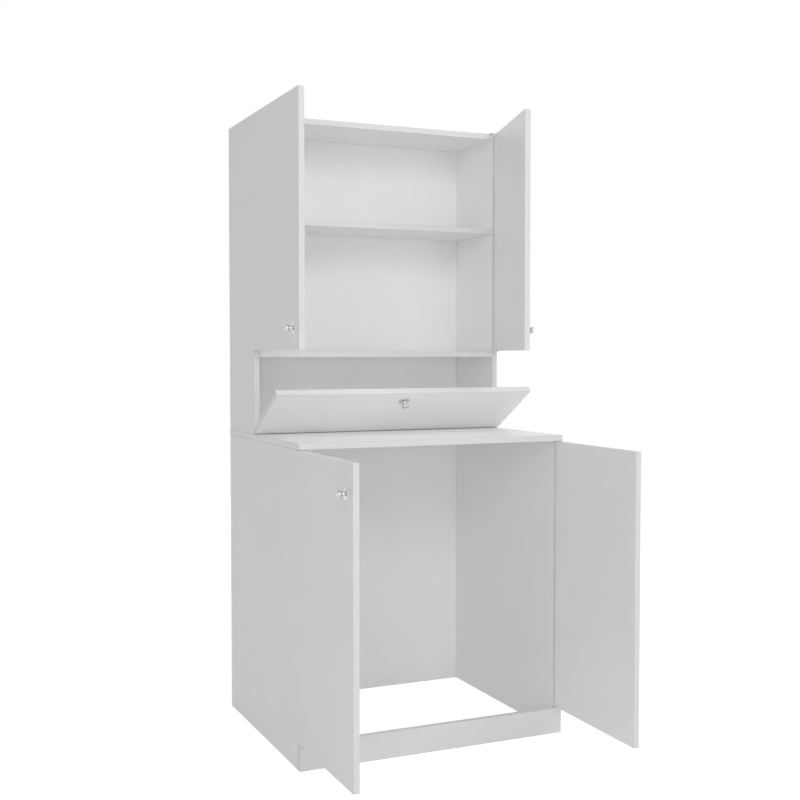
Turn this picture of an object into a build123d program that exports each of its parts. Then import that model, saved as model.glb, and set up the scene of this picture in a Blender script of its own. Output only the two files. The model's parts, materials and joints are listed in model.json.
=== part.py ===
from build123d import *
import math
import os

os.makedirs("parts", exist_ok=True)

# A tall white cabinet that stands over a washing machine, in millimetres.
# X runs across it, Y runs from the front to the wall and Z runs up.
# The origin is on the floor, under the middle of the plinth board.

# Boards
board = 18.0
back_board = 3.0
arris = 0.5
back_edge_inset = 1.0
overrun = 1.0

# Carcass
cabinet_width = 870.0
base_depth = 684.0
base_height = 922.0
plinth_height = 79.0
upper_depth = 276.0
upper_height = 1003.0
flap_bay_height = 243.0
lower_compartment = 403.0

# Doors and flap
door_gap = 2.0
door_pair_gap = 3.0
door_end_gap = 1.5
flap_top_gap = 1.0
hinge_round = 1.5
swing_clearance = 0.3
flap_pivot_height = 13.0

# How far each leaf stands open, in degrees from closed
upper_left_open = 90.0
upper_right_open = 73.8
lower_left_open = 90.2
lower_right_open = 89.2
flap_open = 59.5

# Fits
running_gap = 0.06
press_gap = 0.03
end_play = 1.0

# Door pivots
pin_radius = 2.0
pin_reach = 14.0
bearing_half = 4.0
bearing_length = 16.0
bearing_lift = 0.2
plate = 2.0
nose_radius = 5.0
upper_plate_length = 48.0
upper_plate_width = 24.0
upper_plate_setback = 3.0
upper_plate_side_gap = 2.0
upper_plate_arm = 12.0
base_plate_length = 55.0

# Knobs
knob_from_edge = 50.0
upper_knob_height = 63.0
lower_knob_drop = 81.0
rose_radius = 17.5
rose_height = 3.0
neck_radius = 5.0
head_radius = 10.5
head_length = 11.0
knob_projection = 25.0

# Flap hinges
flap_hinge_spread = 600.0
lug_thickness = 5.0
lug_radius = 5.0
lug_shank_rise = 1.0
lug_bite = 26.0
lug_play = 0.5
clevis_width = 22.0
clevis_rise = 8.0
clevis_skin = 2.5

# Flap stay
stay_radius = 100.0
stay_strip = 12.0
stay_thickness = 2.0
stay_side_gap = 5.0
stay_play = 0.3
stay_foot_width = 14.0
stay_foot_length = 26.0
guide_setback = 2.0
guide_length = 12.0
guide_cheek = 4.0
guide_skin = 3.0
guide_flange = 10.0
stop_radius = 3.0
stop_width = 9.0
stop_gap = 0.2
arm_tail = 2.5

# Loose wooden tongues in the carcass's joints
tongue_width = 40.0
tongue_thickness = 6.0
tongue_bite = 11.0
tongue_margin = 60.0

# Brackets
bracket_leg = 30.0
bracket_width = 20.0
bracket_metal = 2.0
wall_hole_height = 18.0
plinth_bracket_rise = 18.0
wall_bracket_spread = 600.0
wall_hole_radius = 2.75

# Planes of the carcass
half_width = cabinet_width / 2
inner_half = half_width - board
side_middle = half_width - board / 2
base_front = board / 2
plinth_front = base_front - board
rear = base_front + base_depth
board_rear = rear - back_board
worktop_front = base_front - door_gap - board
worktop_bottom = base_height
worktop_top = worktop_bottom + board
upper_front = rear - upper_depth
upper_top = worktop_top + upper_height
top_panel_bottom = upper_top - board
bottom_panel_top = worktop_top + board
divider_bottom = worktop_top + flap_bay_height
divider_top = divider_bottom + board
shelf_bottom = divider_top + lower_compartment
base_pivot_y = base_front - door_gap - board / 2
upper_pivot_y = upper_front - door_gap - board / 2
flap_y = upper_pivot_y
flap_z = worktop_top + flap_pivot_height

# A leaf turns about the middle of its thickness, as far from its edge as lets its
# rounded corners pass in front of the carcass.
corner_reach = board / 2 + door_gap - swing_clearance - hinge_round
corner_half = board / 2 - hinge_round
pivot_inset = hinge_round + math.sqrt(corner_reach**2 - corner_half**2)
pivot_x = half_width - pivot_inset

upper_door_z = (divider_top + plate + door_end_gap, upper_top - door_end_gap)
lower_door_z = (plinth_height + door_end_gap, worktop_bottom - door_end_gap)
up = (0, 0, 1)
down = (0, 0, -1)
right = (1, 0, 0)

# Boards by name, and what is cut out of each
boards = {}
cuts = {}


def save(node, *solids):
    """Writes one node, which may hold several separate solids."""
    shape = solids[0] if len(solids) == 1 else Compound(children=list(solids))
    export_step(shape, f"parts/{node}.step")


def cut(names, shape):
    """Notes a shape that is cut out of the named boards."""
    for name in names:
        cuts.setdefault(name, []).append(shape)


def span(side, x):
    """A pair of X coordinates on the left (-1) or right (1) half, lowest first."""
    return tuple(sorted(side * value for value in x))


def about(middle, width):
    """The pair of coordinates of a width about its middle."""
    return (middle - width / 2, middle + width / 2)


def grown(pair, play):
    """A pair of coordinates with some play at both ends."""
    return (pair[0] - play, pair[1] + play)


def block(x, y, z):
    """A plain box between pairs of coordinates."""
    low = Vector(x[0], y[0], z[0])
    high = Vector(x[1], y[1], z[1])
    size = high - low
    return Pos(*((low + high) / 2)) * Box(size.X, size.Y, size.Z)


def panel(x, y, z):
    """A coated board with its sharp edges taken off."""
    raw = block(x, y, z)
    return chamfer(raw.edges(), arris)


def rod(start, direction, radius, length):
    """A round bar, or the bore for one, from a point along a direction."""
    return extrude(Plane(start, z_dir=direction) * Circle(radius), length)


# Carcass boards
across = (-inner_half, inner_half)
full_width = (-half_width, half_width)
upper_y = (upper_front, board_rear)
upper_z = (worktop_top, upper_top)
base_z = (0, worktop_bottom)
back_x = (back_edge_inset - half_width, half_width - back_edge_inset)
shelves = {
    "bottom_panel": worktop_top,
    "divider": divider_bottom,
    "shelf": shelf_bottom,
    "top_panel": top_panel_bottom,
}
for name, bottom in shelves.items():
    boards[name] = panel(across, upper_y, (bottom, bottom + board))
boards["upper_back"] = block(back_x, (board_rear, rear), (worktop_top, upper_top - back_edge_inset))
boards["base_back"] = block(back_x, (board_rear, rear), base_z)
boards["plinth"] = panel(full_width, (plinth_front, base_front), (0, plinth_height))
boards["worktop"] = panel(full_width, (worktop_front, rear), (worktop_bottom, worktop_top))
for name, side in (("left", -1), ("right", 1)):
    side_x = span(side, (inner_half, half_width))
    boards[f"upper_{name}_side"] = panel(side_x, upper_y, upper_z)
    boards[f"base_{name}_side"] = panel(side_x, (base_front, board_rear), base_z)


def tongue(x, y, z, plays, names):
    """A loose tongue across a joint, with its mortises in both boards."""
    cut(names, block(grown(x, plays[0]), grown(y, plays[1]), grown(z, plays[2])))
    return block(x, y, z)


def shelf_tongues(side, upright):
    """The tongues between one side of the upper unit and the boards that it carries."""
    tongues = []
    x = span(side, about(inner_half, 2 * tongue_bite))
    for name, bottom in shelves.items():
        z = about(bottom + board / 2, tongue_thickness)
        for middle in (upper_front + tongue_margin, board_rear - tongue_margin):
            y = about(middle, tongue_width)
            plays = (end_play, press_gap, press_gap)
            tongues.append(tongue(x, y, z, plays, (name, upright)))
    return tongues


def worktop_tongues(side, places, joint_z, upright):
    """The tongues between the worktop and the edge of one side above or below it."""
    tongues = []
    x = about(side * side_middle, tongue_thickness)
    z = about(joint_z, 2 * tongue_bite)
    for middle in places:
        y = about(middle, tongue_width)
        plays = (press_gap, press_gap, end_play)
        tongues.append(tongue(x, y, z, plays, ("worktop", upright)))
    return tongues


def plinth_tongue(side, upright):
    """The tongue between the plinth and the front edge of one side of the base."""
    x = about(side * side_middle, tongue_thickness)
    y = about(base_front, 2 * tongue_bite)
    z = about(plinth_height / 2, tongue_width)
    return tongue(x, y, z, (press_gap, end_play, press_gap), ("plinth", upright))


upper_ends = (upper_front + tongue_margin, board_rear - tongue_margin)
base_places = (base_front + tongue_margin, upper_front - tongue_margin, sum(upper_ends) / 2)
tongues = []
for name, side in (("left", -1), ("right", 1)):
    tongues += shelf_tongues(side, f"upper_{name}_side")
    tongues += worktop_tongues(side, upper_ends, worktop_top, f"upper_{name}_side")
    tongues += worktop_tongues(side, base_places, worktop_bottom, f"base_{name}_side")
    tongues.append(plinth_tongue(side, f"base_{name}_side"))
save("loose_tongues", *tongues)


# Door pivots: every door turns on two pins, riveted into steel plates
def nose(side, pivot_y, bottom, play=0):
    """The rounded end of a pivot plate, or of its mortise, around the pin."""
    return rod((side * pivot_x, pivot_y, bottom), up, nose_radius + play, plate)


def upper_plate(side, bottom):
    """A cranked plate on a panel's face, with a nose in front of the cabinet's side."""
    end = inner_half - upper_plate_side_gap
    strip_front = upper_front + upper_plate_setback
    nose_y = about(upper_pivot_y, 2 * nose_radius)
    z = (bottom, bottom + plate)
    strip_x = span(side, (end - upper_plate_length, end))
    arm_x = span(side, (end - upper_plate_arm, end))
    reach_x = span(side, (end - upper_plate_arm, pivot_x))
    shape = block(strip_x, (strip_front, strip_front + upper_plate_width), z)
    shape += block(arm_x, (nose_y[0], strip_front), z)
    shape += block(reach_x, nose_y, z)
    return shape + nose(side, upper_pivot_y, bottom)


def base_plate(side, bottom, play=0):
    """A straight plate with one rounded end, or its mortise with some play."""
    start = pivot_x + nose_radius - base_plate_length
    x = span(side, (start - play, pivot_x))
    y = grown(about(base_pivot_y, 2 * nose_radius), play)
    return block(x, y, (bottom, bottom + plate)) + nose(side, base_pivot_y, bottom, play)


def with_pin_hole(shape, side, pivot_y, bottom):
    """A pivot plate with the hole that its pin is riveted into."""
    return shape - rod((side * pivot_x, pivot_y, bottom), up, pin_radius + press_gap, plate)


pin_length = plate + door_end_gap + pin_reach
pins = []
for name, side in (("left", -1), ("right", 1)):
    base_low = plinth_height - plate
    cut(("plinth",), base_plate(side, base_low, press_gap))
    cut(("worktop",), base_plate(side, worktop_bottom, press_gap))
    upper_pair = [with_pin_hole(upper_plate(side, z), side, upper_pivot_y, z) for z in (divider_top, upper_top)]
    base_pair = [with_pin_hole(base_plate(side, z), side, base_pivot_y, z) for z in (base_low, worktop_bottom)]
    save(f"upper_{name}_pivot_plates", *upper_pair)
    save(f"base_{name}_pivot_plates", *base_pair)
    for pivot_y, low, high in ((upper_pivot_y, divider_top, upper_top), (base_pivot_y, base_low, worktop_bottom)):
        pins.append(rod((side * pivot_x, pivot_y, low), up, pin_radius, pin_length))
        pins.append(rod((side * pivot_x, pivot_y, high + plate), down, pin_radius, pin_length))
save("pivot_pins", *pins)


def knob(face_point, outward):
    """A turned knob: a wide flat rose, a narrow neck and a round head."""
    head_low = knob_projection - head_length
    rose = [(0, 0), (rose_radius, 0), (rose_radius, rose_height), (neck_radius, rose_height)]
    head = [(neck_radius, head_low), (head_radius, head_low), (head_radius, knob_projection)]
    outline = make_face(Polyline(*rose, *head, (0, knob_projection), close=True))
    return Plane(face_point, z_dir=outward).location * revolve(Plane.XZ * outline, Axis.Z)


def leaf(x, y, z, along, hinge_end):
    """A door or flap board: its edges along the hinge are rounded, the opposite ones softened."""
    raw = block(x, y, z)
    order = Axis.X if along == Axis.Z else Axis.Z
    long_edges = raw.edges().filter_by(along).sort_by(order)
    free = long_edges[-2:] if hinge_end < 0 else long_edges[:2]
    softened = chamfer(free, arris)
    long_edges = softened.edges().filter_by(along).sort_by(order)
    hinged = long_edges[:2] if hinge_end < 0 else long_edges[-2:]
    return fillet(hinged, hinge_round)


def bearing(side, pivot_y, z, play=0):
    """The nylon block around one pin, or its pocket in the door's end."""
    x = grown(about(side * pivot_x, 2 * bearing_half), play)
    y = grown(about(pivot_y, 2 * bearing_half), play)
    return block(x, y, grown(z, play))


def door(name, side, pivot_y, z, knob_z, angle):
    """One door with its knob and bearings, turned about its pivots to where it stands."""
    x = span(side, (door_pair_gap / 2, half_width))
    y = about(pivot_y, board)
    shape = leaf(x, y, z, Axis.Z, -side)
    proud = door_end_gap - bearing_lift
    low_z = (z[0] - proud, z[0] + bearing_length)
    high_z = (z[1] - bearing_length, z[1])
    pin_bore = rod((side * pivot_x, pivot_y, low_z[0]), up, pin_radius + running_gap, z[1] - low_z[0])
    pair = []
    for part_z in (low_z, high_z):
        shape -= bearing(side, pivot_y, part_z, press_gap)
        pair.append(bearing(side, pivot_y, part_z) - pin_bore)
    knob_x = side * (door_pair_gap / 2 + knob_from_edge)
    handle = knob((knob_x, y[0], knob_z), (0, -1, 0))
    pivot = Axis((side * pivot_x, pivot_y, 0), up)
    save(f"{name}_door", shape.rotate(pivot, side * angle))
    save(f"{name}_knob", handle.rotate(pivot, side * angle))
    save(f"{name}_bearings", *[piece.rotate(pivot, side * angle) for piece in pair])


upper_knob_z = upper_door_z[0] + upper_knob_height
lower_knob_z = lower_door_z[1] - lower_knob_drop
door("upper_left", -1, upper_pivot_y, upper_door_z, upper_knob_z, upper_left_open)
door("upper_right", 1, upper_pivot_y, upper_door_z, upper_knob_z, upper_right_open)
door("lower_left", -1, base_pivot_y, lower_door_z, lower_knob_z, lower_left_open)
door("lower_right", 1, base_pivot_y, lower_door_z, lower_knob_z, lower_right_open)

# Flap, drawn closed and then turned open about its axis
flap_axis = Axis((0, flap_y, flap_z), (1, 0, 0))
flap_leaf_y = about(flap_y, board)
flap_leaf_z = (flap_z - pivot_inset, divider_top - flap_top_gap)
flap_board = leaf(full_width, flap_leaf_y, flap_leaf_z, Axis.X, -1)


def flap_lug(x):
    """A flat lug let into the bottom panel's front edge, with its eye on the flap's axis."""
    lug_x = about(x, lug_thickness)
    shank_y = (flap_y, upper_front + lug_bite)
    shank_z = (flap_z - lug_radius, flap_z + lug_shank_rise)
    mortise_y = (upper_front - overrun, upper_front + lug_bite + end_play)
    cut(("bottom_panel",), block(grown(lug_x, press_gap), mortise_y, grown(shank_z, press_gap)))
    start = (lug_x[0], flap_y, flap_z)
    lug = block(lug_x, shank_y, shank_z) + rod(start, right, lug_radius, lug_thickness)
    return lug - rod(start, right, pin_radius + running_gap, lug_thickness)


def clevis_pocket(x, play):
    """The block of a clevis, or its pocket in the flap's lower edge and inner face."""
    y = (flap_leaf_y[0] + clevis_skin - play, flap_leaf_y[1] + overrun)
    return block(grown(about(x, clevis_width), play), y, (flap_leaf_z[0] - overrun, flap_z + clevis_rise + play))


def flap_clevis(x):
    """The clevis let into the flap around one lug, and its pin."""
    eye = lug_radius + lug_play
    slot_y = (flap_y - eye, flap_leaf_y[1] + overrun)
    slot = block(grown(about(x, lug_thickness), lug_play), slot_y, (flap_leaf_z[0] - overrun, flap_z + eye))
    pin_start = (x - clevis_width / 2, flap_y, flap_z)
    clevis = (flap_board & clevis_pocket(x, 0)) - slot
    clevis -= rod(pin_start, right, pin_radius + press_gap, clevis_width)
    cut(("flap",), clevis_pocket(x, press_gap))
    return clevis, rod(pin_start, right, pin_radius, clevis_width)


lugs = []
clevises = []
hinge_pins = []
for side in (-1, 1):
    hinge_x = side * flap_hinge_spread / 2
    lugs.append(flap_lug(hinge_x))
    clevis, pin = flap_clevis(hinge_x)
    clevises.append(clevis)
    hinge_pins.append(pin)

# Flap stay: an arc-shaped arm about the flap's axis, which slides through a guide
arm_x = (inner_half - stay_side_gap - stay_thickness, inner_half - stay_side_gap)
ring_in = stay_radius - stay_strip / 2
ring_out = stay_radius + stay_strip / 2
guide_half = stay_strip / 2 + stay_play + guide_skin
flange_half = guide_half + guide_flange

# The guide stands as far back as keeps its lower front corner behind the carcass's front
corner_low = stay_radius - flange_half
corner_out = math.hypot(guide_length / 2, corner_low)
corner_back = upper_front - flap_y + guide_setback
guide_turn = math.asin(min(1, corner_back / corner_out)) + math.atan(guide_length / 2 / corner_low)
guide_angle = math.degrees(guide_turn)
guide_half_angle = math.degrees(math.asin(guide_length / 2 / stay_radius))
stop_angle = math.degrees(math.asin((stop_radius + stop_gap) / stay_radius))
stop_at = flap_open + guide_angle + guide_half_angle + stop_angle
tail_angle = math.degrees(math.asin((stop_radius + arm_tail) / stay_radius))
foot_angle = math.degrees(math.asin((board / 2 + stay_thickness / 2) / stay_radius))


def on_ring(radius, angle):
    """The Y and Z of a point about the flap's axis, at an angle back from straight up."""
    turn = math.radians(angle)
    return (flap_y + radius * math.sin(turn), flap_z + radius * math.cos(turn))


def ring_piece(x, inner, outer, low, high):
    """A flat piece of a ring about the flap's axis, between two angles."""
    middle = (low + high) / 2
    outer_points = [on_ring(outer, angle) for angle in (low, middle, high)]
    inner_points = [on_ring(inner, angle) for angle in (high, middle, low)]
    outline = [
        ThreePointArc(*outer_points),
        Line(outer_points[-1], inner_points[0]),
        ThreePointArc(*inner_points),
        Line(inner_points[-1], outer_points[0]),
    ]
    plane = Plane((x[0], 0, 0), x_dir=(0, 1, 0), z_dir=(1, 0, 0))
    return extrude(plane * make_face(outline), x[1] - x[0])


def stay_arm():
    """The arm with its foot on the flap and its stop stud, with the flap closed."""
    face = flap_leaf_y[1]
    foot_x = (arm_x[1] - stay_foot_width, arm_x[1])
    arm = block(foot_x, (face, face + stay_thickness), about(flap_z + stay_radius, stay_foot_length))
    arm += ring_piece(arm_x, ring_in, ring_out, foot_angle, stop_at + tail_angle)
    centre_y, centre_z = on_ring(stay_radius, stop_at)
    arm -= rod((arm_x[0], centre_y, centre_z), right, stop_radius + press_gap, stay_thickness)
    stop_x = about(sum(arm_x) / 2, stop_width)
    return arm, rod((stop_x[0], centre_y, centre_z), right, stop_radius, stop_width)


def stay_guide():
    """The guide on the right side, drawn straight above the flap's axis and turned back."""
    middle_z = flap_z + stay_radius
    y = about(flap_y, guide_length)
    shape = block((arm_x[0] - guide_cheek, inner_half), y, about(middle_z, 2 * guide_half))
    shape += block((inner_half - stay_thickness, inner_half), y, about(middle_z, 2 * flange_half))
    slot_angle = 2 * guide_half_angle
    slot_x = grown(arm_x, stay_play)
    shape -= ring_piece(slot_x, ring_in - stay_play, ring_out + stay_play, -slot_angle, slot_angle)
    return shape.rotate(flap_axis, -guide_angle)


def save_open(node, *solids):
    """Turns pieces of the flap to where it stands open, and writes them as one node."""
    save(node, *[piece.rotate(flap_axis, flap_open) for piece in solids])


arm, stop = stay_arm()
save("flap_stay_guide", stay_guide())
save("flap_hinge_lugs", *lugs)
save_open("flap", flap_board - cuts["flap"])
save_open("flap_knob", knob((0, flap_leaf_y[0], flap_leaf_z[1] - knob_from_edge), (0, -1, 0)))
save_open("flap_clevises", *clevises)
save_open("flap_hinge_pins", *hinge_pins)
save_open("flap_stay_arm", arm)
save_open("flap_stay_stop", stop)


def corner_bracket(side):
    """A steel angle behind the plinth that ties it to one side of the base."""
    z = (plinth_bracket_rise, plinth_bracket_rise + bracket_width)
    plinth_leg = span(side, (inner_half - bracket_leg, inner_half))
    side_leg = span(side, (inner_half - bracket_metal, inner_half))
    shape = block(plinth_leg, (base_front, base_front + bracket_metal), z)
    return shape + block(side_leg, (base_front, base_front + bracket_leg), z)


def wall_bracket(side):
    """A steel angle on the top panel at the rear, with the hole for a wall screw."""
    middle_x = side * wall_bracket_spread / 2
    x = about(middle_x, bracket_width)
    shape = block(x, (rear - bracket_leg, rear), (upper_top, upper_top + bracket_metal))
    shape += block(x, (rear - bracket_metal, rear), (upper_top, upper_top + bracket_leg))
    hole_start = (middle_x, rear - bracket_metal, upper_top + wall_hole_height)
    return shape - rod(hole_start, (0, 1, 0), wall_hole_radius, bracket_metal)


save("plinth_brackets", *[corner_bracket(side) for side in (-1, 1)])
save("wall_brackets", *[wall_bracket(side) for side in (-1, 1)])

for name, shape in boards.items():
    save(name, shape - cuts.get(name, []))
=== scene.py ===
import bmesh
import bpy
import json
import math
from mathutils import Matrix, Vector


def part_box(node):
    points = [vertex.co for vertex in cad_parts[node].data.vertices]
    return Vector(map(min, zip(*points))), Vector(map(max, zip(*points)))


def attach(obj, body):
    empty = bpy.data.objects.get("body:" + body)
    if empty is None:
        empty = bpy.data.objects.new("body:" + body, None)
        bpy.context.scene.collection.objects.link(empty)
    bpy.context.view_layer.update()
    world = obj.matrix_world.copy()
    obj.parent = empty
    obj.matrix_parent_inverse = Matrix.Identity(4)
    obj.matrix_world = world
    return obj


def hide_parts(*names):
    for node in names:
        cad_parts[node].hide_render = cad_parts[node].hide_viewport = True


# A tall white cabinet for a washing machine. Lengths are in metres, in the frame's own axes.
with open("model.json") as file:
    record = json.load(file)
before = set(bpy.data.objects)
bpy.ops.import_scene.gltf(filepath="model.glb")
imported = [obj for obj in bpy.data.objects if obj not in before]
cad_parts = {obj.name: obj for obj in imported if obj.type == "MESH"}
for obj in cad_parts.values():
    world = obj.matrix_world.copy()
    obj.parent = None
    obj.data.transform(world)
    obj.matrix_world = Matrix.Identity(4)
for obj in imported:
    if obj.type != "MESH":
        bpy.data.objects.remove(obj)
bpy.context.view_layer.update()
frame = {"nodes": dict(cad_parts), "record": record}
nodes = frame["nodes"]
record = frame["record"]
scene = bpy.context.scene

# Camera, worked out from the photograph's straight edges, with its turns in degrees
CAMERA_PLACE = (-1.5263, -3.1459, 1.1943)
CAMERA_YAW = -24.121
CAMERA_PITCH = -2.257
LENS = 52.83
SENSOR = 36.0

# Studio: large soft lamps as (name, place, aim, size, watts)
LAMPS = (
    ("key_lamp", (-1.0, -4.4, 3.45), (0, 0.3, 1.2), 1.5, 44.0),
    ("left_lamp", (-3.0, -4.8, 1.6), (0, 0, 1.0), 3.0, 44.0),
    ("far_lamp", (0.1, -10.0, 1.25), (0, 0, 1.1), 2.0, 64.0),
    ("top_lamp", (0, -0.3, 5.5), (0, 0, 1.0), 3.0, 46.0),
    ("right_lamp", (3.5, -3.0, 4.2), (0, 0, 1.0), 3.0, 58.0),
    ("rear_lamp", (1.8, 5.5, 2.4), (0, 0.6, 1.0), 4.0, 85.0),
)

# This lamp only lights the object: its reflection would turn the steel behind as white as the background
UNREFLECTED_LAMPS = ("rear_lamp",)

# Strength of the world where it lights the object
WORLD_LIGHT = 0.41

# The floor lights the object as a pale grey one, and where it is seen it glows to white
FLOOR_SIZE = 60.0
FLOOR_ALBEDO = 0.78
FLOOR_GLOW = 0.885
FLOOR_SHADOW = 0.3

# The background is white, and pale grey overhead, where its direction rises above these heights
CEILING_GREY = 0.4
CEILING_HEIGHTS = (0.5, 0.72)

# Light bounces often enough to fill the open compartments
BOUNCES = 16
DIFFUSE_BOUNCES = 12

# Most of a noise's values lie in this range
NOISE_RANGE = (0.3, 0.7)

# The darkest grain of a plated metal, as a share of its colour
GRAIN_SHADE = 0.94


def grey(level):
    """A grey colour."""
    return (level, level, level)


def new_material(name):
    """A material with its node tree and its Principled shader."""
    material = bpy.data.materials.new(name)
    material.use_nodes = True
    tree = material.node_tree
    return material, tree, tree.nodes["Principled BSDF"]


def noise(tree, scale, detail=2.0, stretch=(1, 1, 1)):
    """The value of a noise in the object's own coordinates."""
    place = tree.nodes.new("ShaderNodeTexCoord")
    mapping = tree.nodes.new("ShaderNodeMapping")
    mapping.inputs["Scale"].default_value = stretch
    texture = tree.nodes.new("ShaderNodeTexNoise")
    texture.inputs["Scale"].default_value = scale
    texture.inputs["Detail"].default_value = detail
    tree.links.new(place.outputs["Object"], mapping.inputs["Vector"])
    tree.links.new(mapping.outputs["Vector"], texture.inputs["Vector"])
    return texture.outputs["Fac"]


def spread(tree, value, low, high, source=NOISE_RANGE):
    """A value mapped from its own range onto the range of a setting."""
    ramp = tree.nodes.new("ShaderNodeMapRange")
    ramp.inputs["From Min"].default_value, ramp.inputs["From Max"].default_value = source
    ramp.inputs["To Min"].default_value = low
    ramp.inputs["To Max"].default_value = high
    tree.links.new(value, ramp.inputs["Value"])
    return ramp.outputs["Result"]


def tint(tree, value, dark, light):
    """A colour between two, by a noise value."""
    mix = tree.nodes.new("ShaderNodeMix")
    mix.data_type = "RGBA"
    mix.inputs["A"].default_value = (*dark, 1)
    mix.inputs["B"].default_value = (*light, 1)
    tree.links.new(spread(tree, value, 0, 1), mix.inputs["Factor"])
    return mix.outputs["Result"]


def bump(tree, shader, height, depth, strength):
    """Fine relief, as deep as given in metres."""
    node = tree.nodes.new("ShaderNodeBump")
    node.inputs["Distance"].default_value = depth
    node.inputs["Strength"].default_value = strength
    tree.links.new(height, node.inputs["Height"])
    tree.links.new(node.outputs["Normal"], shader.inputs["Normal"])


def coated(name, dark, light, roughness, pearl_depth):
    """White foil on a board: a fine pearl, a slow change of tone and a satin sheen."""
    material, tree, shader = new_material(name)
    drift = noise(tree, scale=3.5, detail=3.0)
    sheen = noise(tree, scale=14.0, detail=4.0)
    pearl = noise(tree, scale=900.0)
    tree.links.new(tint(tree, drift, grey(dark), grey(light)), shader.inputs["Base Color"])
    tree.links.new(spread(tree, sheen, *roughness), shader.inputs["Roughness"])
    bump(tree, shader, pearl, pearl_depth, strength=0.4)
    shader.inputs["IOR"].default_value = 1.48
    return material


def metal(name, colour, roughness, grain, depth):
    """A plated metal with a fine grain in its sheen and relief."""
    material, tree, shader = new_material(name)
    shader.inputs["Metallic"].default_value = 1.0
    dark = tuple(GRAIN_SHADE * value for value in colour)
    value = noise(tree, grain, detail=3.0)
    tree.links.new(tint(tree, value, dark, colour), shader.inputs["Base Color"])
    tree.links.new(spread(tree, value, *roughness), shader.inputs["Roughness"])
    bump(tree, shader, value, depth, strength=0.3)
    return material


def powder_coat():
    """White powder coat on steel, with its fine orange peel."""
    material, tree, shader = new_material("white_steel")
    drift = noise(tree, scale=40.0)
    peel = noise(tree, scale=600.0)
    tree.links.new(tint(tree, drift, grey(0.78), grey(0.81)), shader.inputs["Base Color"])
    shader.inputs["Roughness"].default_value = 0.38
    bump(tree, shader, peel, depth=0.00005, strength=0.4)
    return material


def nylon():
    """Moulded nylon, slightly waxy and mottled."""
    material, tree, shader = new_material("nylon")
    mottle = noise(tree, scale=120.0, detail=3.0)
    grain = noise(tree, scale=1500.0)
    tone = tint(tree, mottle, dark=(0.70, 0.70, 0.67), light=(0.76, 0.76, 0.73))
    tree.links.new(tone, shader.inputs["Base Color"])
    shader.inputs["Roughness"].default_value = 0.5
    shader.inputs["Subsurface Weight"].default_value = 0.1
    shader.inputs["Subsurface Radius"].default_value = (0.002, 0.002, 0.002)
    bump(tree, shader, grain, depth=0.00003, strength=0.3)
    return material


def beech():
    """Plain beech with its short flecks."""
    material, tree, shader = new_material("beech")
    flecks = noise(tree, scale=60.0, detail=6.0, stretch=(1, 8, 8))
    tone = tint(tree, flecks, dark=(0.52, 0.34, 0.19), light=(0.70, 0.50, 0.31))
    tree.links.new(tone, shader.inputs["Base Color"])
    shader.inputs["Roughness"].default_value = 0.6
    bump(tree, shader, flecks, depth=0.0001, strength=0.4)
    return material


def hardboard():
    """The bare brown rear of a hardboard, with its pressed fibres."""
    material, tree, shader = new_material("hardboard")
    fibres = noise(tree, scale=260.0, detail=8.0, stretch=(1, 1, 2.5))
    tone = tint(tree, fibres, dark=(0.20, 0.115, 0.06), light=(0.33, 0.205, 0.115))
    tree.links.new(tone, shader.inputs["Base Color"])
    shader.inputs["Roughness"].default_value = 0.72
    bump(tree, shader, fibres, depth=0.0002, strength=0.5)
    return material


# Foils as (name, darkest and lightest grey, range of roughness, depth of the pearl)
FOILS = (
    ("white_board", 0.87, 0.89, (0.36, 0.46), 0.00004),
    # The darker white of narrow faces and of the plinth: partly an edge band's own tone, partly painted
    # shade that tones down front-facing faces the lamps light most
    ("edge_tone_and_shade", 0.73, 0.75, (0.30, 0.38), 0.00001),
    # Painted shade, not a foil: a dark grey for the softened corners that stands in for the shadow in the
    # seams where boards meet
    ("painted_seam_shade", 0.44, 0.50, (0.50, 0.60), 0.00001),
    ("white_back", 0.87, 0.89, (0.45, 0.55), 0.00002),
)

# Metals as (name, colour, range of roughness, scale of the grain, depth of the relief)
METALS = (
    ("chrome", (0.64, 0.645, 0.65), (0.08, 0.13), 300.0, 0.000003),
    ("steel", (0.60, 0.61, 0.63), (0.26, 0.38), 500.0, 0.00001),
    ("zinc", (0.50, 0.505, 0.515), (0.34, 0.48), 700.0, 0.00003),
)

materials = {foil[0]: coated(*foil) for foil in FOILS}
materials.update({plated[0]: metal(*plated) for plated in METALS})
materials.update(hardboard=hardboard(), white_steel=powder_coat(), nylon=nylon(), beech=beech())


# A board's faces, by how squarely they look along a direction: 1 is square on, 0 edge on
SQUARE_ON = 0.95
SOFT_CORNER = (0.6, 0.8)
HALF_TURNED = 0.5


def main_normal(mesh):
    """The normal of a board's largest face."""
    return max(mesh.polygons, key=lambda polygon: polygon.area).normal.copy()


def dress_board(node):
    """Gives narrow faces a darker white, partly an edge band's own tone and partly painted shade, and
    gives the plinth's faces the same darker white as painted shade. The softened corners get painted
    shade, a dark grey line along each joint that stands in for the shadow in the seam.
    """
    mesh = node.data
    for finish in ("edge_tone_and_shade", "painted_seam_shade"):
        mesh.materials.append(materials[finish])
    face, band, joint = range(len(mesh.materials))
    flat = main_normal(mesh)
    for polygon in mesh.polygons:
        share = abs(polygon.normal.dot(flat))
        faced_end = node.name == "worktop" and abs(polygon.normal.x) > SQUARE_ON
        # Narrow faces take the darker white: partly the edge band's tone, partly painted shade
        polygon.material_index = band
        # Softened corners take the painted seam shade, a dark line standing in for the shadow along each
        # joint
        if SOFT_CORNER[0] < share < SOFT_CORNER[1]:
            polygon.material_index = joint
        # The plinth's broad faces keep the darker white as well, as painted shade on the cabinet's lowest
        # board
        if share > SQUARE_ON and node.name != "plinth" or faced_end:
            polygon.material_index = face


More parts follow.
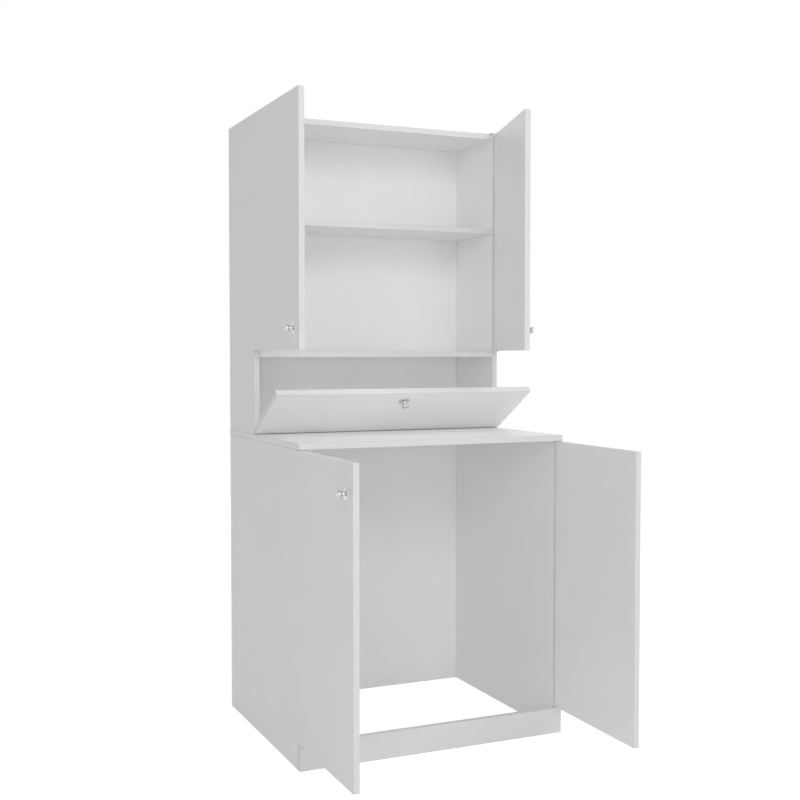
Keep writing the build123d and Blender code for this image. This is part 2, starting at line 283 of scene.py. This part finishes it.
def dress_back(node):
    """Leaves a back board's rear and edges bare."""
    mesh = node.data
    mesh.materials.append(materials["hardboard"])
    for polygon in mesh.polygons:
        polygon.material_index = 0 if polygon.normal.y < -HALF_TURNED else 1


for part in record["subparts"]:
    node = nodes[part["node"]]
    node.data.materials.clear()
    node.data.materials.append(materials[part["material_slot"]])
    if part["material_slot"] == "white_board":
        dress_board(node)
    if part["material_slot"] == "white_back":
        dress_back(node)


# A direction this near to upright is squared to X instead of Z
NEARLY_UPRIGHT = 0.8


def frame_of(axis):
    """Two directions square to an axis and to each other."""
    side = Vector((0, 0, 1)) if abs(axis.z) < NEARLY_UPRIGHT else Vector((1, 0, 0))
    first = (side - axis * side.dot(axis)).normalized()
    return first, axis.cross(first)


def ring(mesh, place, axis, radius, height, count):
    """A ring of points round an axis, or the one point on it."""
    first, second = frame_of(axis)
    centre = place + axis * height
    if radius == 0:
        return [mesh.verts.new(centre)]
    turns = [2 * math.pi * number / count for number in range(count)]
    return [mesh.verts.new(centre + (first * math.cos(t) + second * math.sin(t)) * radius) for t in turns]


def skin(mesh, rings, smooth):
    """Faces between each ring of points and the next, where a ring may be one point."""
    for low, high in zip(rings, rings[1:]):
        for number in range(max(len(low), len(high))):
            corners = [low[number % len(low)], low[(number + 1) % len(low)]]
            corners += [high[(number + 1) % len(high)], high[number % len(high)]]
            mesh.faces.new(list(dict.fromkeys(corners))).smooth = smooth


def rings_of(mesh, place, axis, outline, count):
    """The rings of a turned form, from an outline of (radius, height) pairs."""
    return [ring(mesh, place, axis, radius, height, count) for radius, height in outline]


# A corner is rounded at most this far along each of its legs, in this many steps
LONGEST_EASE_SHARE = 1 / 2.2
EASE_STEPS = 2


def eased(corners, radius):
    """An outline with its inner corners rounded."""
    points = [corners[0]]
    for before, corner, after in zip(corners, corners[1:], corners[2:]):
        here = Vector(corner)
        back = Vector(before) - here
        ahead = Vector(after) - here
        reach = min(radius, back.length * LONGEST_EASE_SHARE, ahead.length * LONGEST_EASE_SHARE)
        start = here + back.normalized() * reach
        stop = here + ahead.normalized() * reach
        for step in range(EASE_STEPS + 1):
            share = step / EASE_STEPS
            curve = start * (1 - share) ** 2 + here * 2 * share * (1 - share) + stop * share**2
            points.append(tuple(curve))
    return points + [corners[-1]]


def add_piece(name, mesh, body, slot):
    """Puts a finished mesh in the scene as a piece of a body, with the finish of a slot."""
    data = bpy.data.meshes.new(name)
    bmesh.ops.recalc_face_normals(mesh, faces=mesh.faces)
    mesh.to_mesh(data)
    mesh.free()
    piece = bpy.data.objects.new(name, data)
    scene.collection.objects.link(piece)
    data.materials.append(materials[slot])
    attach(piece, body)
    return piece


# Knobs: a sloping rose and a waisted neck as (radius, height), and an oval head
KNOB_ROSE = [(0, 0), (0.0175, 0), (0.0175, 0.0006), (0.0160, 0.0016), (0.0130, 0.0028), (0.0098, 0.0039)]
KNOB_NECK = [(0.0070, 0.0052), (0.0054, 0.0070), (0.0047, 0.0090), (0.0048, 0.0112), (0.0056, 0.0127)]
KNOB_HEAD_RADIUS = 0.0105
KNOB_HEAD_MIDDLE = 0.0186
KNOB_HEAD_HALF = 0.0064
KNOB_HEAD_TURNS = [math.radians(turn) for turn in range(-56, 90, 8)]
KNOB_SIDES = 72
KNOB_EASE = 0.0012


def knob_outline():
    """The outline of a knob, from the middle of its rose to its tip."""
    head = []
    for turn in KNOB_HEAD_TURNS:
        height = KNOB_HEAD_MIDDLE + KNOB_HEAD_HALF * math.sin(turn)
        head.append((KNOB_HEAD_RADIUS * math.cos(turn), height))
    tip = (0, KNOB_HEAD_MIDDLE + KNOB_HEAD_HALF)
    return eased(KNOB_ROSE + KNOB_NECK + head + [tip], KNOB_EASE)


def middle(values):
    """The middle of the range of some numbers."""
    found = list(values)
    return (min(found) + max(found)) / 2


def knob(owner, body):
    """A turned knob in place of its plain solid, square to the board that carries it."""
    solid = [vert.co for vert in nodes[owner + "_knob"].data.vertices]
    carrier = (nodes.get(owner + "_door") or nodes[owner]).data
    board = [vert.co for vert in carrier.vertices]
    outward = main_normal(carrier)
    if middle(co.dot(outward) for co in solid) < middle(co.dot(outward) for co in board):
        outward = -outward
    first, second = frame_of(outward)
    place = outward * min(co.dot(outward) for co in solid)
    for across in (first, second):
        place += across * middle(co.dot(across) for co in solid)
    mesh = bmesh.new()
    skin(mesh, rings_of(mesh, place, outward, knob_outline(), KNOB_SIDES), smooth=True)
    piece = add_piece(owner + "_turned_knob", mesh, body, "chrome")
    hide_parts(owner + "_knob")


for owner in ("upper_left", "upper_right", "lower_left", "lower_right", "flap"):
    knob(owner, owner + "_leaf")


# Screws and nails: countersunk heads with a cross recess, and plain round heads.
# The shares are of a head's radius, or of its rise above the plate.
HEAD_SIDES = 24
SCREW_RADIUS = 0.0036
SCREW_RISE = 0.00035
SCREW_CROWN_SHARE = 0.92
SCREW_RIM_SHARE = 0.3
CROSS_REACH = 0.0019
CROSS_HALF = 0.00042
CROSS_DEPTH = 0.0007
NAIL_SIDES = 12
NAIL_RADIUS = 0.0014
NAIL_RISE = 0.00015
NAIL_CROWN_SHARE = 0.7
NAIL_RIM_SHARE = 0.4
CROSS_ARMS = 4


def cross_points():
    """The corners of a cross, a quarter turn at a time."""
    arm = [(CROSS_REACH, -CROSS_HALF), (CROSS_REACH, CROSS_HALF), (CROSS_HALF, CROSS_HALF)]
    points = []
    for _ in range(CROSS_ARMS):
        points += arm
        arm = [(-y, x) for x, y in arm]
    return points


def screw_head(mesh, place, axis):
    """One screw's head, low and slightly domed, with its cross recess."""
    rim = (SCREW_RADIUS, SCREW_RISE * SCREW_RIM_SHARE)
    crown = (SCREW_RADIUS * SCREW_CROWN_SHARE, SCREW_RISE)
    rings = rings_of(mesh, place, axis, [(SCREW_RADIUS, -SCREW_RISE), rim, crown], HEAD_SIDES)
    skin(mesh, rings, smooth=False)
    first, second = frame_of(axis)
    levels = []
    for height in (SCREW_RISE, SCREW_RISE - CROSS_DEPTH):
        base = place + axis * height
        levels.append([mesh.verts.new(base + first * x + second * y) for x, y in cross_points()])
    top, bottom = levels
    edges = []
    for loop in (rings[-1], top):
        for number, vert in enumerate(loop):
            pair = (vert, loop[(number + 1) % len(loop)])
            edges.append(mesh.edges.get(pair) or mesh.edges.new(pair))
    bmesh.ops.triangle_fill(mesh, edges=edges, use_beauty=True)
    skin(mesh, levels, smooth=False)
    mesh.faces.new(bottom)


def nail_head(mesh, place, axis):
    """One round nail head, driven flush."""
    rim = (NAIL_RADIUS, NAIL_RISE * NAIL_RIM_SHARE)
    crown = (NAIL_RADIUS * NAIL_CROWN_SHARE, NAIL_RISE)
    outline = [(NAIL_RADIUS, -NAIL_RISE), rim, crown, (0, NAIL_RISE)]
    skin(mesh, rings_of(mesh, place, axis, outline, NAIL_SIDES), smooth=True)


def heads(name, body, make_head, places):
    """Like fasteners of one body in one piece, from (place, direction) pairs."""
    mesh = bmesh.new()
    for place, direction in places:
        make_head(mesh, Vector(place), Vector(direction).normalized())
    add_piece(name, mesh, body, "steel")


def mirrored(places):
    """The same places on the right and on the left."""
    sides = (1, -1)
    return [((s * x, y, z), (s * dx, dy, dz)) for (x, y, z), (dx, dy, dz) in places for s in sides]


# Screws stand this far from the ends, corners or middle of what they hold, on metal as thick as PLATE
PLATE = 0.002
UPPER_PLATE_SCREWS_IN = (0.012, 0.035)
UPPER_PLATE_SCREW_BACK = 0.012
BASE_PLATE_SCREWS_X = (0.390, 0.408)
CORNER_SCREW_IN = 0.017
CORNER_SCREW_BACK = 0.018
WALL_SCREW_IN = 0.010
WALL_SCREW_BACK = 0.013
UP, DOWN, TO_REAR, TO_LEFT = (0, 0, 1), (0, 0, -1), (0, 1, 0), (-1, 0, 0)


def upper_plate_screws():
    """Two screws in each pivot plate of the upper doors."""
    low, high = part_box("upper_right_pivot_plates")
    y = high[1] - UPPER_PLATE_SCREW_BACK
    tops = [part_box(panel)[1][2] + PLATE for panel in ("divider", "top_panel")]
    return [((low[0] + inset, y, z), UP) for z in tops for inset in UPPER_PLATE_SCREWS_IN]


def base_plate_screws():
    """Two screws in each pivot plate of the lower doors, into the plinth and into the worktop."""
    low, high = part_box("base_right_pivot_plates")
    y = (low[1] + high[1]) / 2
    levels = ((low[2] + PLATE, UP), (high[2] - PLATE, DOWN))
    return [((x, y, z), direction) for z, direction in levels for x in BASE_PLATE_SCREWS_X]


def bracket_screws():
    """A screw in each leg of the corner brackets, and one in each wall bracket."""
    low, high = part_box("plinth_brackets")
    z = (low[2] + high[2]) / 2
    corner = [((high[0] - CORNER_SCREW_IN, low[1] + PLATE, z), TO_REAR)]
    corner += [((high[0] - PLATE, low[1] + CORNER_SCREW_BACK, z), TO_LEFT)]
    low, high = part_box("wall_brackets")
    return corner + [((high[0] - WALL_SCREW_IN, low[1] + WALL_SCREW_BACK, low[2] + PLATE), UP)]


# The flap's stay, whose arm runs round the flap's axis. Its foot lies on the flap, and FOOT_FACE is
# how far the foot's outer face stands from the middle of the flap's board.
flap_hinge = next(joint for joint in record["behaviour"]["joints"] if joint["name"] == "flap_hinge")
FLAP_AXIS_Y, FLAP_AXIS_Z = flap_hinge["pos_m"][1:]
FLAP_OPEN = math.radians(-flap_hinge["range_deg"][0])
STAY_RADIUS = 0.100
GUIDE_TURN = math.radians(13.5)
GUIDE_SCREW_REACH = 0.0143
FOOT_SCREW_REACH = 0.0085
FOOT_SCREW_X = 0.404
FOOT_FACE = 0.011


def beside_flap_axis(x, radius, turn, back=0.0):
    """A point at a radius about the flap's axis, at an angle back from straight up."""
    y = FLAP_AXIS_Y + radius * math.sin(turn) + back * math.cos(turn)
    z = FLAP_AXIS_Z + radius * math.cos(turn) - back * math.sin(turn)
    return (x, y, z)


def stay_radii(reach):
    """The radii of two screws, a reach below and above the arm's middle."""
    return (STAY_RADIUS - reach, STAY_RADIUS + reach)


def guide_screws():
    """The two screws through the guide's flanges into the right side."""
    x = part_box("flap_stay_guide")[1][0] - PLATE
    return [(beside_flap_axis(x, r, GUIDE_TURN), TO_LEFT) for r in stay_radii(GUIDE_SCREW_REACH)]


def foot_screws():
    """The two screws through the arm's foot into the flap."""
    normal = (0, math.cos(FLAP_OPEN), math.sin(FLAP_OPEN))
    radii = stay_radii(FOOT_SCREW_REACH)
    return [(beside_flap_axis(FOOT_SCREW_X, r, -FLAP_OPEN, FOOT_FACE), normal) for r in radii]


paired_screws = mirrored(upper_plate_screws() + base_plate_screws() + bracket_screws())
heads("cabinet_screws", "cabinet", screw_head, paired_screws + guide_screws())
heads("stay_foot_screws", "flap_leaf", screw_head, foot_screws())


# Nails stand this far inside the edge of a back board, about a step apart
NAIL_INSET = 0.008
NAIL_STEP = 0.12


def back_nails(node):
    """Nails round the edge of a back board, at an even step."""
    low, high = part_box(node)
    rear = high[1]
    x0, x1 = low[0] + NAIL_INSET, high[0] - NAIL_INSET
    z0, z1 = low[2] + NAIL_INSET, high[2] - NAIL_INSET
    across = round((x1 - x0) / NAIL_STEP)
    along = round((z1 - z0) / NAIL_STEP)
    places = [(x0 + (x1 - x0) * n / across, z) for n in range(across + 1) for z in (z0, z1)]
    places += [(x, z0 + (z1 - z0) * n / along) for n in range(1, along) for x in (x0, x1)]
    return [((x, rear, z), TO_REAR) for x, z in places]


heads("back_nails", "cabinet", nail_head, back_nails("upper_back") + back_nails("base_back"))


def look_at(obj, target):
    """Turns a lamp towards a point."""
    obj.rotation_euler = (Vector(target) - obj.location).to_track_quat("-Z", "Y").to_euler()


def add_lamp(name, place, aim, size, watts):
    """A square soft lamp, which the camera doesn't see."""
    data = bpy.data.lights.new(name, "AREA")
    data.shape = "SQUARE"
    data.size = size
    data.energy = watts
    lamp = bpy.data.objects.new(name, data)
    scene.collection.objects.link(lamp)
    lamp.location = place
    look_at(lamp, aim)
    lamp.visible_camera = False
    lamp.visible_glossy = name not in UNREFLECTED_LAMPS


def seen_directly(tree):
    """1 for rays that come from the camera or through gloss or glass, else 0."""
    path = tree.nodes.new("ShaderNodeLightPath")
    total = path.outputs["Is Camera Ray"]
    for ray in ("Is Glossy Ray", "Is Transmission Ray"):
        larger = tree.nodes.new("ShaderNodeMath")
        larger.operation = "MAXIMUM"
        tree.links.new(total, larger.inputs[0])
        tree.links.new(path.outputs[ray], larger.inputs[1])
        total = larger.outputs[0]
    return total


def split_rays(tree, lighting, seen, output):
    """Shows one shader to the rays that see it, and another to those that light the object."""
    mix = tree.nodes.new("ShaderNodeMixShader")
    out = tree.nodes.new(output)
    tree.links.new(seen_directly(tree), mix.inputs["Fac"])
    tree.links.new(lighting, mix.inputs[1])
    tree.links.new(seen, mix.inputs[2])
    tree.links.new(mix.outputs["Shader"], out.inputs["Surface"])


def make_world():
    """White where it is seen, and a softer, plain level where it lights the object."""
    world = bpy.data.worlds.new("studio")
    scene.world = world
    world.use_nodes = True
    tree = world.node_tree
    tree.nodes.clear()
    light = tree.nodes.new("ShaderNodeBackground")
    light.inputs["Color"].default_value = (1, 1, 1, 1)
    light.inputs["Strength"].default_value = WORLD_LIGHT
    white = tree.nodes.new("ShaderNodeBackground")
    white.inputs["Color"].default_value = (1, 1, 1, 1)
    direction = tree.nodes.new("ShaderNodeTexCoord")
    split = tree.nodes.new("ShaderNodeSeparateXYZ")
    tree.links.new(direction.outputs["Generated"], split.inputs[0])
    ceiling = spread(tree, split.outputs["Z"], 1.0, CEILING_GREY, CEILING_HEIGHTS)
    tree.links.new(ceiling, white.inputs["Strength"])
    split_rays(tree, light.outputs["Background"], white.outputs["Background"], "ShaderNodeOutputWorld")


def diffuse(tree, level):
    """A plain matt grey."""
    shader = tree.nodes.new("ShaderNodeBsdfDiffuse")
    shader.inputs["Color"].default_value = (*grey(level), 1)
    return shader.outputs["BSDF"]


def make_floor():
    """A plain pale floor that looks white and keeps a faint shadow of the object."""
    mesh = bpy.data.meshes.new("floor")
    half = FLOOR_SIZE / 2
    corners = [(-half, -half, 0), (half, -half, 0), (half, half, 0), (-half, half, 0)]
    mesh.from_pydata(corners, [], [(0, 1, 2, 3)])
    floor = bpy.data.objects.new("floor", mesh)
    scene.collection.objects.link(floor)
    material = bpy.data.materials.new("floor")
    material.use_nodes = True
    mesh.materials.append(material)
    tree = material.node_tree
    tree.nodes.clear()
    glow = tree.nodes.new("ShaderNodeEmission")
    glow.inputs["Strength"].default_value = FLOOR_GLOW
    add = tree.nodes.new("ShaderNodeAddShader")
    tree.links.new(diffuse(tree, FLOOR_SHADOW), add.inputs[0])
    tree.links.new(glow.outputs["Emission"], add.inputs[1])
    split_rays(tree, diffuse(tree, FLOOR_ALBEDO), add.outputs["Shader"], "ShaderNodeOutputMaterial")


def make_camera():
    """The camera where the photograph was taken from."""
    data = bpy.data.cameras.new("camera")
    data.sensor_width = SENSOR
    data.lens = LENS
    camera = bpy.data.objects.new("camera", data)
    scene.collection.objects.link(camera)
    camera.location = CAMERA_PLACE
    camera.rotation_euler = (math.radians(90 + CAMERA_PITCH), 0, math.radians(CAMERA_YAW))
    scene.camera = camera


make_world()
make_floor()
make_camera()
for lamp in LAMPS:
    add_lamp(*lamp)
scene.view_settings.view_transform = "Standard"
scene.cycles.max_bounces = BOUNCES
scene.cycles.diffuse_bounces = DIFFUSE_BOUNCES
